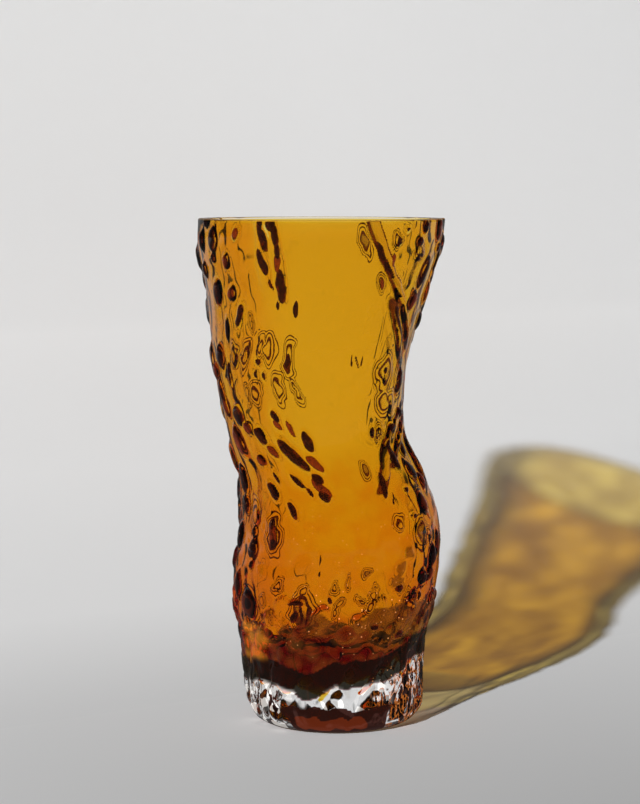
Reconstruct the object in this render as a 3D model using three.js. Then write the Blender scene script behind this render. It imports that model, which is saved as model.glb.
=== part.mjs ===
// A mouth-blown cased glass vase: an amber cup of glass fused inside a thicker clear casing with a heavy clear foot.
// It was blown into a bark-like mould, so strings and beads of clear glass stand on the outside, and the inside is
// smooth. Millimetres, +Z up. The origin is the middle of the flat underside, and the front faces -Y.
// Angles are in degrees round the middle of the vase: 0 is the front, 90 is the right side (+X).

import * as THREE from "three";
import { mergeVertices } from "three/addons/utils/BufferGeometryUtils.js";

// Driving dimensions of the outer form: at each height a round section has a radius and stands off to one side.
const height = 250;
const footRadius = 42.4;
const footEdgeRadius = 8;
const ankleHeight = 34;
const ankleRadius = 45.2;
const ankleShiftX = -0.7;
const ankleShiftY = -0.5;
const bellyHeight = 68;
const bellyRadius = 51.5;
const bellyShiftX = 0.2;
const bellyShiftY = -1.5;
const hipHeight = 98;
const hipRadius = 50.6;
const hipShiftX = 2.7;
const hipShiftY = -2;
const flankHeight = 122;
const flankRadius = 47;
const flankShiftX = -1.5;
const flankShiftY = 0;
const waistHeight = 142;
const waistRadius = 44.8;
const waistShiftX = -8.8;
const waistShiftY = 2;
const chestHeight = 178;
const chestRadius = 48.6;
const chestShiftX = -12;
const chestShiftY = 3;
const throatHeight = 212;
const throatRadius = 54.8;
const throatShiftX = -9.5;
const throatShiftY = 2;
const lipHeight = 237;
const lipRadius = 60.7;
const lipShiftX = -7.8;
const lipShiftY = 1;
const rimRadius = 61.5;
const rimShiftX = -7;
const rimShiftY = 0.5;

// The wall is drawn flat between the strings: five soft flats go round, the widest at the front.
const flatCount = 5;
const flatDepth = 1.8;
const frontFlatAngle = 3;

// The two layers of glass. The amber one gets thicker towards the foot.
const casingWallAtRim = 3;
const casingWallAtFoot = 5;
const amberWallAtRim = 2.4;
const amberWallAtWaist = 2.8;
const amberWallAtHip = 4.2;
const amberWallAtFoot = 5.6;
const clearFootThickness = 20;
const amberFloorThickness = 19;
const casingCornerRadius = 20;
const cavityCornerRadius = 16;

// Strings and beads of the outside.
const stringWidth = 5;
const stringHeight = 1.8;
const stringTaper = 12;
const beadHeight = 1.9;
const beadSteepness = 0.36;
const sideBeadCount = 26;
const sideBeadLength = 11;
const sideBeadWidth = 6.5;
const sideBeadsBottom = 78;
const sideBeadsTop = 245;
const backBeadCount = 10;
const backBeadLength = 14;
const backBeadWidth = 8;
const backBeadsBottom = 80;
const backBeadsTop = 240;
const wrinkleCount = 90;
const wrinkleLength = 9;
const wrinkleWidth = 7;
const wrinkleBottom = 42;
const wrinkleTop = 66;
const wrinkleShare = 0.8;
const facetCount = 64;
const facetLength = 14;
const facetWidth = 10;
const facetBottom = 6;
const facetTop = 40;
const smoothFootBand = 16;

// Unevenness of the mould: each bead's place, size and lean step on by these parts of their range.
const angleStep = 0.7549;
const heightStep = 0.5698;
const lengthStep = 0.8192;
const widthStep = 0.6711;
const leanStep = 0.5497;
const smallestShare = 0.7;
const sizeRange = 0.6;
const leanRange = 30;

// Steps of the surfaces: the outside has three times as many columns as the smooth inside.
const innerColumns = 36;
const outerColumns = innerColumns * 3;
const outerWallRows = 45;
const innerWallRows = 14;
const edgeSteps = 3;
const cornerSteps = 5;

const radians = THREE.MathUtils.degToRad;

// A smooth curve through stations [where, value], worked out at one place: each stretch is a cubic whose end slopes
// come from the neighbouring stations.
function through(stations, where) {
  const last = stations.length - 1;
  const at = THREE.MathUtils.clamp(where, stations[0][0], stations[last][0]);
  let i = 0;
  while (i < last - 1 && at > stations[i + 1][0]) i += 1;
  const slope = (k) => {
    const before = stations[Math.max(k - 1, 0)];
    const after = stations[Math.min(k + 1, last)];
    return (after[1] - before[1]) / (after[0] - before[0]);
  };
  const span = stations[i + 1][0] - stations[i][0];
  const t = (at - stations[i][0]) / span;
  const fromHere = (1 + 2 * t) * (1 - t) ** 2 * stations[i][1] + t * (1 - t) ** 2 * span * slope(i);
  const fromNext = t * t * (3 - 2 * t) * stations[i + 1][1] - t * t * (1 - t) * span * slope(i + 1);
  return fromHere + fromNext;
}

const radii = [
  [0, footRadius],
  [ankleHeight, ankleRadius],
  [bellyHeight, bellyRadius],
  [hipHeight, hipRadius],
  [flankHeight, flankRadius],
  [waistHeight, waistRadius],
  [chestHeight, chestRadius],
  [throatHeight, throatRadius],
  [lipHeight, lipRadius],
  [height, rimRadius],
];
const shiftsX = [
  [0, 0],
  [ankleHeight, ankleShiftX],
  [bellyHeight, bellyShiftX],
  [hipHeight, hipShiftX],
  [flankHeight, flankShiftX],
  [waistHeight, waistShiftX],
  [chestHeight, chestShiftX],
  [throatHeight, throatShiftX],
  [lipHeight, lipShiftX],
  [height, rimShiftX],
];
const shiftsY = [
  [0, 0],
  [ankleHeight, ankleShiftY],
  [bellyHeight, bellyShiftY],
  [hipHeight, hipShiftY],
  [flankHeight, flankShiftY],
  [waistHeight, waistShiftY],
  [chestHeight, chestShiftY],
  [throatHeight, throatShiftY],
  [lipHeight, lipShiftY],
  [height, rimShiftY],
];

// How far the soft flats draw the wall in at an angle and height. They fade out towards the round foot.
function flatDraw(angle, z) {
  const wave = (1 + Math.cos(flatCount * radians(angle - frontFlatAngle))) / 2;
  return flatDepth * wave * Math.min(z / ankleHeight, 1);
}

// Radius of the smooth form that the mould's relief stands on.
function formRadius(angle, z) {
  return through(radii, z) - flatDraw(angle, z);
}

// Strings: long raised threads that run up the wall, each through stations [height, angle].
const strings = [
  [[185.5, 73], [205.5, 56], [221, 40], [240.5, 27], [height, 24]],
  [[185, 64.5], [205.5, 47], [216.5, 39]],
  [[117, 28], [135, 41], [152, 62], [160.5, 84]],
  [[129, 42], [145, 65.5], [156, 83]],
  [[212, -16], [229, -18.5], [242.5, -21.5], [height, -24]],
  [[212, -23], [226, -26], [height, -28]],
  [[120, -140], [165, -128], [215, -118], [height, -122]],
  [[172, 112], [205, 104], [height, 100]],
];

// Beads of the front and its two corners, the larger ones, each [angle, height, length, width, lean]. They fall in
// bands, from the rim down to the waist on both corners and from the left waist down across the belly.
const frontBeads = [
  [-68, 248.5, 6, 8, 0], [-60, 240, 11, 11, 0], [-74.5, 239.5, 9.5, 8, 0], [-76, 225, 7.5, 8, 0],
  [-17, 218.5, 16.5, 5, -4], [-62, 214, 12, 10.5, 3], [-42, 204.5, 11, 4.5, 22], [-67.5, 183, 11.5, 11.5, 0],
  [-80, 174.5, 8.5, 6.5, 0], [-75.5, 164.5, 12.5, 6.5, -15], [-72.5, 158.5, 11.5, 6.5, -15], [-55, 154.5, 9, 9, -35],
  [-36, 145.5, 9.5, 5, -35], [-6, 144, 10.5, 5, -15], [-62, 141.5, 14, 9, -35], [-17, 137.5, 18.5, 6, -38],
  [-5, 133.5, 9.5, 4.5, -35], [-71, 122.5, 15, 11.5, -10], [-6.5, 122, 11.5, 5, -38], [-38, 119.5, 8.5, 5, -30],
  [-70, 110, 9.5, 6.5, 0], [-40, 99, 14.5, 4.5, -2], [-82, 93.5, 13, 10.5, 0], [-58.5, 90.5, 8.5, 10.5, 8],
  [-74, 69.5, 15.5, 9, 0], [-59.5, 61.5, 12.5, 13, 0], [-83.5, 44, 11.5, 8, -5], [57, 247, 8.5, 5.5, 5],
  [66, 246.5, 9.5, 6.5, 5], [62, 240, 9.5, 9, 5], [80, 234.5, 9.5, 6.5, 8], [66.5, 224.5, 14, 8.5, 10],
  [62.5, 210.5, 9.5, 8, 12], [66, 185, 14.5, 6, -5], [82.5, 179, 13.5, 5, 0], [67, 173, 12.5, 8.5, 3],
  [72, 158.5, 9.5, 6.5, 0], [62, 150, 8.5, 6.5, 15], [84, 143.5, 12.5, 5, -25], [50, 143, 12.5, 4.5, 20],
  [75, 141, 9.5, 6.5, -10], [61, 139, 7.5, 6.5, 12], [65.5, 128, 10.5, 9, -15], [82, 123.5, 14.5, 6.5, -15],
  [70, 122, 7.5, 8, -10], [60, 113, 8.5, 7.5, -5], [66, 103, 16.5, 6.5, -8], [65, 91, 11.5, 5, 0],
  [58, 87, 8, 6.5, -5], [51, 77.5, 5.5, 7.5, 30], [68.5, 77, 12.5, 6.5, 5], [65.5, 66, 8.5, 5, 10],
  [63, 55.5, 6.5, 6.5, 20],
];

// The part of a number after the point.
function fraction(number) {
  return number - Math.floor(number);
}

// Beads spread over a patch of the wall. Stepping on by those parts never lets them fall into rows.
function scattered(count, angles, heights, start, length, width) {
  return Array.from({ length: count }, (_, k) => {
    const turn = start + k;
    return [
      THREE.MathUtils.lerp(...angles, fraction(angleStep * turn)),
      THREE.MathUtils.lerp(...heights, fraction(heightStep * turn)),
      length * (smallestShare + sizeRange * fraction(lengthStep * turn)),
      width * (smallestShare + sizeRange * fraction(widthStep * turn)),
      leanRange * (fraction(leanStep * turn) - 0.5),
    ];
  });
}

// The sides carry beads like the front's, the back only its edges, and the lowest part of the wall is wrinkled all
// round: small beads close together, and below them wide ones like facets.
const sideHeights = [sideBeadsBottom, sideBeadsTop];
const backHeights = [backBeadsBottom, backBeadsTop];
const allRound = [-180, 180];
const sideBeads = [
  ...scattered(sideBeadCount, [84, 128], sideHeights, 3, sideBeadLength, sideBeadWidth),
  ...scattered(sideBeadCount, [-128, -86], sideHeights, 4, sideBeadLength, sideBeadWidth),
];
const backBeads = [
  ...scattered(backBeadCount, [130, 150], backHeights, 6, backBeadLength, backBeadWidth),
  ...scattered(backBeadCount, [-150, -130], backHeights, 7, backBeadLength, backBeadWidth),
];
const facets = scattered(facetCount, allRound, [facetBottom, facetTop], 5, facetLength, facetWidth);
const beads = [...frontBeads, ...sideBeads, ...backBeads, ...facets];
const wrinkles = scattered(wrinkleCount, allRound, [wrinkleBottom, wrinkleTop], 8, wrinkleLength, wrinkleWidth);

// Shortest way round from one angle to another, -180 to 180.
function angleBetween(from, to) {
  return THREE.MathUtils.euclideanModulo(to - from + 180, 360) - 180;
}

// A round hump with steep sides: 1 in the middle, a half at distance 1, and 0 a little further out.
function mound(distanceSquared) {
  const share = Math.max(1 - distanceSquared / 2, 0);
  return share ** 2 * (3 - 2 * share);
}

// How far one bead stands out at an angle and height: an oval hump that leans. Wide beads stand higher.
function beadRise([middle, beadZ, length, width, lean], angle, z, radius) {
  const across = radians(angleBetween(middle, angle)) * radius;
  const up = z - beadZ;
  if (Math.abs(across) > length || Math.abs(up) > length) return 0;
  const tilt = radians(lean);
  const along = up * Math.cos(tilt) + across * Math.sin(tilt);
  const aside = across * Math.cos(tilt) - up * Math.sin(tilt);
  const top = Math.min(beadSteepness * width, beadHeight);
  return top * mound(((2 * along) / length) ** 2 + ((2 * aside) / width) ** 2);
}

// How far one string stands out: a rounded thread whose lower end tapers away.
function stringRise(stations, angle, z, radius) {
  const top = stations[stations.length - 1][0];
  const fromEnd = Math.min(z - stations[0][0], top < height ? top - z : stringTaper);
  if (fromEnd <= 0) return 0;
  const aside = radians(angleBetween(through(stations, z), angle)) * radius;
  const taper = Math.min(fromEnd / stringTaper, 1);
  return stringHeight * taper * mound(((2 * aside) / stringWidth) ** 2);
}

// Everything that the mould left on the outside. Where beads meet they don't pile up: the highest one counts.
function relief(angle, z, radius) {
  let most = 0;
  for (const bead of beads) most = Math.max(most, beadRise(bead, angle, z, radius));
  for (const bead of wrinkles) most = Math.max(most, wrinkleShare * beadRise(bead, angle, z, radius));
  for (const stations of strings) most = Math.max(most, stringRise(stations, angle, z, radius));
  return most * THREE.MathUtils.smoothstep(z, 0, smoothFootBand);
}

// A point at a distance from the middle line, which leans and bends with the form.
function pointAt(angle, z, radius) {
  const turn = radians(angle);
  const x = through(shiftsX, z) + radius * Math.sin(turn);
  const y = through(shiftsY, z) - radius * Math.cos(turn);
  return new THREE.Vector3(x, y, z);
}

// One ring of points round the vase at a height.
function ring(columns, z, radiusAt) {
  return Array.from({ length: columns }, (_, k) => {
    const angle = (k * 360) / columns;
    return pointAt(angle, z, radiusAt(angle));
  });
}

// Rings of the outside, from the rounded edge of the foot up to the rim.
function outerRings() {
  const rings = [];
  for (let k = 0; k < edgeSteps; k += 1) {
    const turn = (k / edgeSteps) * (Math.PI / 2);
    const z = footEdgeRadius * (1 - Math.cos(turn));
    const inset = footEdgeRadius * (1 - Math.sin(turn));
    rings.push(ring(outerColumns, z, (angle) => formRadius(angle, z) - inset));
  }
  for (let k = 0; k <= outerWallRows; k += 1) {
    const z = THREE.MathUtils.lerp(footEdgeRadius, height, k / outerWallRows);
    rings.push(
      ring(outerColumns, z, (angle) => {
        const form = formRadius(angle, z);
        return form + relief(angle, z, form);
      }),
    );
  }
  return rings;
}

// Thickness of each layer's wall at a height.
function casingWall(z) {
  return THREE.MathUtils.lerp(casingWallAtFoot, casingWallAtRim, z / height);
}
function amberWall(z) {
  const stations = [
    [0, amberWallAtFoot],
    [hipHeight, amberWallAtHip],
    [waistHeight, amberWallAtWaist],
    [height, amberWallAtRim],
  ];
  return through(stations, z);
}

// Rings of a smooth cup: its floor, a round corner, and its wall at a depth below the outer form.
function cupRings(floor, cornerRadius, depthAt) {
  const rings = [];
  const cupRing = (z, inset) => ring(innerColumns, z, (angle) => formRadius(angle, z) - depthAt(z) - inset);
  for (let k = 0; k < cornerSteps; k += 1) {
    const turn = ((k + 0.5) / (cornerSteps + 0.5)) * (Math.PI / 2);
    rings.push(cupRing(floor + cornerRadius * (1 - Math.cos(turn)), cornerRadius * (1 - Math.sin(turn))));
  }
  for (let k = 0; k <= innerWallRows; k += 1) {
    rings.push(cupRing(THREE.MathUtils.lerp(floor + cornerRadius, height, k / innerWallRows), 0));
  }
  return rings;
}

// Triangles between two rings. The first may have a whole number of times as many points as the second.
function between(many, few) {
  const triangles = [];
  const share = many.length / few.length;
  for (let k = 0; k < few.length; k += 1) {
    const next = few[(k + 1) % few.length];
    for (let part = 0; part < share; part += 1) {
      const here = k * share + part;
      triangles.push([many[here], many[(here + 1) % many.length], few[k]]);
    }
    triangles.push([many[((k + 1) * share) % many.length], next, few[k]]);
  }
  return triangles;
}

// Triangles of a surface from a middle point at the bottom up through its rings, facing away from the middle line.
function skin(middle, rings) {
  const first = rings[0];
  const triangles = first.map((point, k) => [middle, first[(k + 1) % first.length], point]);
  for (let k = 0; k + 1 < rings.length; k += 1) triangles.push(...between(rings[k], rings[k + 1]));
  return triangles;
}

function turnedOver(triangles) {
  return triangles.map(([a, b, c]) => [a, c, b]);
}

// A named mesh from triangles that close up, with its shared corners merged.
function solid(name, triangles, material) {
  const corners = triangles.flat(2).flatMap((point) => point.toArray());
  const loose = new THREE.BufferGeometry();
  loose.setAttribute("position", new THREE.Float32BufferAttribute(corners, 3));
  const geometry = mergeVertices(loose);
  geometry.computeVertexNormals();
  const mesh = new THREE.Mesh(geometry, material);
  mesh.name = name;
  return mesh;
}

// The three surfaces of the vase. The middle one is where the two glasses are fused, so both bodies share its points.
const cavityFloor = clearFootThickness + amberFloorThickness;
const outside = outerRings();
const fused = cupRings(clearFootThickness, casingCornerRadius, casingWall);
const cavity = cupRings(cavityFloor, cavityCornerRadius, (z) => casingWall(z) + amberWall(z));
const outsideSkin = skin(new THREE.Vector3(0, 0, 0), outside);
const fusedSkin = skin(pointAt(0, clearFootThickness, 0), fused);
const cavitySkin = skin(pointAt(0, cavityFloor, 0), cavity);
const outerRim = outside[outside.length - 1];
const fusedRim = fused[fused.length - 1];
const cavityRim = cavity[cavity.length - 1];

// Clear casing: the outer layer of glass and the heavy foot, down to the polished flat it stands on.
const clearGlass = new THREE.MeshStandardMaterial({ color: 0xe9edec, roughness: 0.05, metalness: 0 });
const clearCasing = solid(
  "clear_casing",
  [...outsideSkin, ...between(outerRim, fusedRim), ...turnedOver(fusedSkin)],
  clearGlass,
);

// Amber liner: the coloured cup that holds the water, with its thick floor.
const amberGlass = new THREE.MeshStandardMaterial({ color: 0xc8860f, roughness: 0.05, metalness: 0 });
const amberLiner = solid(
  "amber_liner",
  [...fusedSkin, ...between(fusedRim, cavityRim), ...turnedOver(cavitySkin)],
  amberGlass,
);

const vase = new THREE.Group();
vase.add(clearCasing, amberLiner);

export default vase;
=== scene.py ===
# %% [markdown]
# # A mouth-blown cased vase
#
# The vase is two layers of hot glass. A cup of amber glass was gathered first, then cased in clear glass,
# blown into a mould with a bark-like wall and left with a heavy clear foot. In this lesson the glass is
# built from three ideas: one form that leans and bends, a relief of strings and beads on it, and a coloured
# layer inside.

import bpy
import numpy as np
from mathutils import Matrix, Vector


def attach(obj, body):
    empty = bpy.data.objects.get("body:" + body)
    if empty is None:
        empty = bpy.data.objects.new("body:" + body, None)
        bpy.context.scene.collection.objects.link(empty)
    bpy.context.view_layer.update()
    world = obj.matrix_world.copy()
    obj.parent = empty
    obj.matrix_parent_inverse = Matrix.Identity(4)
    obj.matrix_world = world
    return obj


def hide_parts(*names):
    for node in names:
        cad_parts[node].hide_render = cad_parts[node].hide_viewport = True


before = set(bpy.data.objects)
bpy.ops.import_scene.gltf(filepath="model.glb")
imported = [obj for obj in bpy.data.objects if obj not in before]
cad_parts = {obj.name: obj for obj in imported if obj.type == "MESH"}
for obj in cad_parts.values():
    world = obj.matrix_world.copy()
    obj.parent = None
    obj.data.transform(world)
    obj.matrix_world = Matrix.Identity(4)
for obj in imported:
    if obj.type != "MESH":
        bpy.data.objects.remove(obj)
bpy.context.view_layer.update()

# %% [markdown]
# ## The form
#
# A blown pot is usually a lathe profile, and Blender's Screw or Spin could turn one. This form leans to the
# left at the waist and comes back at the hip, so a lathe can't make it. It is given as round sections
# instead: at each height a radius, and how far the section stands off to the side. A smooth curve runs
# through them.

# %% Sizes of the form
MM = 0.001
HEIGHT = 250.0
# height, radius, sideways shift, backward shift, in millimetres
SECTIONS = np.array(
    [
        (0, 42.4, 0, 0),
        (34, 45.2, -0.7, -0.5),
        (68, 51.5, 0.2, -1.5),
        (98, 50.6, 2.7, -2),
        (122, 47, -1.5, 0),
        (142, 44.8, -8.8, 2),
        (178, 48.6, -12, 3),
        (212, 54.8, -9.5, 2),
        (237, 60.7, -7.8, 1),
        (250, 61.5, -7, 0.5),
    ]
)
SECTION_HEIGHTS, RADII, SIDEWAYS, BACKWARD = SECTIONS.T
# flats between the strings: their number, depth and front angle, and the height below which they fade
FLATS, FLAT_DEPTH, FRONT_FLAT, ANKLE = 5, 1.8, 3.0, 34
FOOT_EDGE = 8.0


def through(stations, values, where):
    """Smooth curve: a cubic between stations, with the slopes of the lines from neighbour to neighbour."""
    stations, values = np.asarray(stations, float), np.asarray(values, float)
    last = len(stations) - 1
    before, after = np.r_[0, np.arange(last)], np.r_[np.arange(1, last + 1), last]
    slopes = (values[after] - values[before]) / (stations[after] - stations[before])
    at = np.clip(where, stations[0], stations[-1])
    i = np.clip(np.searchsorted(stations, at, side="right") - 1, 0, last - 1)
    span = stations[i + 1] - stations[i]
    t = (at - stations[i]) / span
    here = (1 + 2 * t) * (1 - t) ** 2 * values[i] + t * (1 - t) ** 2 * span * slopes[i]
    following = t * t * (3 - 2 * t) * values[i + 1] - t * t * (1 - t) * span * slopes[i + 1]
    return here + following


def form_radius(angle, z):
    """Radius of the smooth form: the section's radius less five soft flats, each a cosine wave."""
    flatness = (1 + np.cos(FLATS * np.radians(angle - FRONT_FLAT))) / 2
    return through(SECTION_HEIGHTS, RADII, z) - FLAT_DEPTH * flatness * np.minimum(z / ANKLE, 1)


def place(angle, z, radius):
    """Point in metres at an angle, height and radius from the bent middle line: 0 is -Y and 90 is +X."""
    turn = np.radians(angle)
    x = through(SECTION_HEIGHTS, SIDEWAYS, z) + radius * np.sin(turn)
    y = through(SECTION_HEIGHTS, BACKWARD, z) - radius * np.cos(turn)
    return np.stack([x, y, z + 0 * x], axis=-1) * MM


print("The mouth is", 2 * RADII[-1], "mm wide, and the middle line leans", -SIDEWAYS.min(), "mm to the left")

# %% [markdown]
# ## The relief
#
# The mould left long strings and drop-shaped beads on the outside. A bead is an oval mound with steep
# sides; a string is a rounded thread that tapers at its ends. Sculpting them by hand would work, but a list
# of where each one stands and a formula for its height keeps every one of them easy to move.

# %% Beads
# angle, height, length, width, lean in degrees; painted near black, as the shade that a steep bead bends in
DARK_BEADS = [
    (-60, 240, 11, 8, 0), (-61, 231.5, 4, 4.5, 0), (-62, 214, 12, 7.5, 3), (-42, 204.5, 11, 4.5, 22),
    (-10, 207.5, 8, 2.5, 3), (-26, 241.5, 13, 3.5, -18), (-26, 230.5, 13, 3.5, -16),
    (-22, 219.5, 6, 1.5, -18), (-27, 249, 4, 3, -10), (-22.5, 248.5, 7.5, 4, 0),
    (-20.5, 242.5, 11.5, 3.5, -10), (-19, 235.5, 7.5, 3, -8), (-17, 218.5, 16.5, 5, -4),
    (-19, 209.5, 4.5, 1.5, 0), (-68, 248.5, 5, 5, 0), (-74.5, 239.5, 9, 5, 0), (-76, 225, 7, 5, 0),
    (-13, 182.5, 7.5, 3, 2), (-67.5, 183, 11, 8, 0), (-55, 196.5, 10.5, 3, 0),
    (-57.5, 174.5, 10.5, 3, -5), (-30.5, 182.5, 3, 3.5, 40), (-33, 175.5, 3.5, 2.5, -30),
    (-28, 175, 4, 1.5, 0), (-75.5, 164.5, 12.5, 6.5, -15), (-55, 154.5, 9, 9, -35),
    (-36, 145.5, 9.5, 5, -35), (-23.5, 156, 6.5, 3, -30), (-17, 137.5, 18.5, 6, -38),
    (-6, 144, 10.5, 5, -15), (-7, 126.5, 6, 4.5, -50), (-6, 118, 6, 5, -45), (-33, 126, 5.5, 2.5, -15),
    (-38, 119.5, 8.5, 5, -30), (-19.5, 125, 9, 3, -42), (-14, 119.5, 5, 2, -25), (-26.5, 111, 9.5, 3.5, -27),
    (-40, 104, 6, 4, 0), (-39.5, 94.5, 6, 3.5, -5), (-71, 122.5, 14, 8, -10), (-58.5, 90.5, 8.5, 8, 8),
    (-57.5, 98, 5, 4.5, 5), (-57.5, 82, 4, 3.5, 20), (-70, 110, 9.5, 6.5, 0), (-82, 93.5, 12, 7, 0),
    (-74, 69.5, 14, 6.5, 0), (-57, 62.5, 6, 5.5, 0), (-83.5, 44, 11.5, 8, -5), (-11, 88, 5.5, 1.5, 0),
    (-10.5, 81, 3, 1, 0), (-3, 68.5, 4, 2, -15), (-19, 62, 12.5, 1.5, 0), (-15.5, 61, 12.5, 1.5, 8),
    (-23, 59.5, 6.5, 3.5, 30), (-22, 66.5, 2.5, 9, 0), (37.75, 239.5, 5.5, 2, 0), (42.75, 245.5, 2.5, 2.5, 0),
    (51.75, 239.5, 4.5, 5.5, 0), (54, 231, 2, 2.5, 0), (55.75, 246.5, 6.5, 4.5, 0), (65.25, 224.5, 13, 7, 12),
    (59.5, 215, 2, 3, 0), (78, 236, 6, 4, 0), (68.5, 171.5, 11, 6, 5), (47.5, 177.5, 2.5, 3, 0),
    (72.75, 154.5, 4.5, 5, 20), (56.25, 148.5, 6, 5.5, 15), (48, 139, 9, 4.5, 12), (31.5, 123, 12.5, 3.5, 8),
    (49.5, 134.5, 9.5, 4, 15), (50.75, 132, 6, 3, 0), (67, 137.5, 6.5, 4.5, 5), (63, 127.5, 9.5, 7.5, -20),
    (47.5, 120, 2, 3.5, 0), (37.25, 147.5, 5, 2.5, 10), (64.5, 85.5, 9.5, 7, 0), (54.5, 76.5, 5, 7, 30),
    (51.5, 68, 5, 3.5, 5), (76, 65, 6.5, 4, 5), (35.25, 73, 3, 4.5, 0), (68.25, 54.5, 6.5, 6.5, 20),
    (39, 49.5, 4, 6, 0), (23.5, 54, 2.5, 4, 0), (46.75, 107, 1.5, 3, 0), (44.25, 108, 1.5, 2, 0),
    (23.25, 97.5, 1, 2, 0), (51.75, 98.5, 2, 2, 0),
]
# the same, painted a deep brownish red instead, a lighter painted shade
RED_BEADS = [
    (-41, 243.5, 6, 4, 12), (-49, 229.5, 7.5, 4.5, 5), (-47, 214.5, 7, 5.5, 20), (-19, 230, 9.5, 3.5, 0),
    (-46, 149, 7.5, 5, -60), (-29, 138.5, 7.5, 4, -40), (-22.5, 151.5, 6.5, 3, -35), (-15, 150, 9.5, 2, -20),
    (-5, 133.5, 9.5, 4.5, -35), (-6.5, 122, 11.5, 5, -38), (-41, 133.5, 5.5, 5, -10),
    (-62, 141.5, 14, 9, -35), (-40, 99, 14.5, 4.5, -2), (-72.5, 158.5, 11.5, 6.5, -15),
    (-80, 174.5, 8.5, 6.5, 0), (-59.5, 61.5, 12.5, 13, 0), (36, 231, 6, 2.5, 0), (73.5, 245, 10.5, 8, 0),
    (33, 219.5, 5.5, 2, -20), (61.5, 112, 8.5, 6.5, -5), (60, 210.5, 9.5, 6, 18),
    (74.75, 121.5, 6.5, 5.5, -20), (62.75, 77.5, 6.5, 5.5, 5), (73.25, 92, 12.5, 4, 0),
]
# low beads whose painted shade is a few thin dark rings, one inside the other
RINGS = [
    (-12.5, 184.5, 18, 6, 0), (-8.5, 167.5, 13, 3.5, -20), (-19, 169, 14, 5.5, 0), (-34.5, 166, 10.5, 6, 0),
    (-41, 165.5, 11.5, 3.5, 0), (-24, 188, 15.5, 6, 0), (-29, 190, 10.5, 4, 10), (-39.5, 184.5, 15, 5, 15),
    (-49, 184, 12, 6.5, 0), (-35, 201, 8.5, 2.5, 0), (-57.5, 107, 14, 8.5, 5), (-40, 98.5, 19, 9.5, 0),
    (-59.5, 61.5, 16.5, 16.5, 0), (-33, 74.5, 8.5, 4.5, 20), (-44, 66.5, 5, 4.5, 10), (-37, 58.5, 6, 3, 0),
    (-46, 56, 4.5, 4.5, -20), (-18, 63, 17.5, 12, 5), (13, 68.5, 6.5, 2.5, -50), (-13.5, 45.5, 10, 10.5, 0),
    (-25.5, 44, 10.5, 7, 20), (2, 67, 5, 4, 30), (15, 80.5, 6, 3.5, 60), (5.5, 77.5, 6.5, 2, 0),
    (21.25, 240.5, 15.5, 4.5, -14), (37.5, 240, 8.5, 4, 0), (32.75, 220, 8, 3.5, -20),
    (23.25, 129.5, 9.5, 4, 8), (47.75, 176.5, 16.5, 11.5, 3), (48.5, 161.5, 14, 10, 3),
    (55.75, 161.5, 12, 7.5, 3), (69.25, 172, 15.5, 13, 3), (42.5, 147.5, 7.5, 4, 0), (59, 97, 5.5, 5, 0),
    (51.75, 98.5, 14.5, 9.5, 0), (35.25, 104, 8, 5.5, 0), (53.5, 234.5, 7.5, 7.5, 5),
    (61.5, 112, 11.5, 9.5, 0), (45.5, 66.5, 9.5, 7, 15), (40, 59.5, 8.5, 8, 0),
]
# low beads painted brown with half the shade of the lobes
BROWN_BEADS = [
    (51.75, 98.5, 13, 7, 0), (40.25, 90, 7, 6, 10), (35.5, 84, 6.5, 7, 20), (34, 76.5, 7.5, 9.5, 0),
    (21.25, 240, 12.5, 3, -14), (23, 129, 7, 3, 8), (33.25, 58.5, 9.5, 8, 0), (43.75, 55, 11.5, 11.5, 10),
    (22.75, 59, 6, 10, 0), (72, 59.5, 16.5, 8, 8), (15, 80.5, 6, 3, 60), (-19, 60.5, 9.5, 6, 0),
]
print(len(DARK_BEADS + RED_BEADS), "beads,", len(RINGS), "rings and", len(BROWN_BEADS), "brown beads")

# %% [markdown]
# ## Beads where nobody counts them
#
# The front is set bead by bead. Round the sides, on the back and on the foot it is enough that they look
# cast from the same mould, so a formula spreads them: each step round the list adds a fraction that never
# repeats, and a sine lets a bead stray from its place. The result is the same on every run.

# %% Scattered beads
ANGLE_STEP, HEIGHT_STEP, LENGTH_STEP, WIDTH_STEP, LEAN_STEP = 0.7549, 0.5698, 0.8192, 0.6711, 0.5497
SMALLEST, SIZE_RANGE, LEAN_RANGE = 0.7, 0.6, 30
ANGLE_STRAY_TURN, HEIGHT_STRAY_TURN = 12.9, 7.7


def scattered(count, angles, heights, start, length=14.0, width=8.0, stray=0.0):
    """Beads over a patch of the wall: place, size and lean are fractions of a range, plus a stray sine."""
    turn = start + np.arange(count)
    middle = angles[0] + (angles[1] - angles[0]) * (ANGLE_STEP * turn % 1)
    height = heights[0] + (heights[1] - heights[0]) * (HEIGHT_STEP * turn % 1)
    middle = middle + stray * np.sin(ANGLE_STRAY_TURN * turn)
    height = height + stray * np.sin(HEIGHT_STRAY_TURN * turn)
    long = length * (SMALLEST + SIZE_RANGE * (LENGTH_STEP * turn % 1))
    wide = width * (SMALLEST + SIZE_RANGE * (WIDTH_STEP * turn % 1))
    return list(zip(middle, height, long, wide, LEAN_RANGE * (LEAN_STEP * turn % 1 - 0.5)))


# side beads and rings are painted with shade as the front ones are; back, edge, wrinkle and facet beads only
# raise the wall
SIDE_BEADS = scattered(20, (112, 138), (80, 238), 3, 12, 4.2, 6)
SIDE_BEADS += scattered(22, (-134, -96), (80, 238), 4, 12, 4.2, 6)
SIDE_RINGS = scattered(16, (84, 132), (84, 236), 24, 16, 5.5, 5)
SIDE_RINGS += scattered(16, (-132, -84), (84, 236), 25, 16, 5.5, 5)
# small rings just above the thick floor of the amber
SMALL_RINGS = scattered(13, (-34, 44), (58, 76), 33, 6, 3.5)
BACK_BEADS = scattered(8, (126, 140), (80, 240), 6) + scattered(8, (-140, -126), (80, 240), 7)
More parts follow.
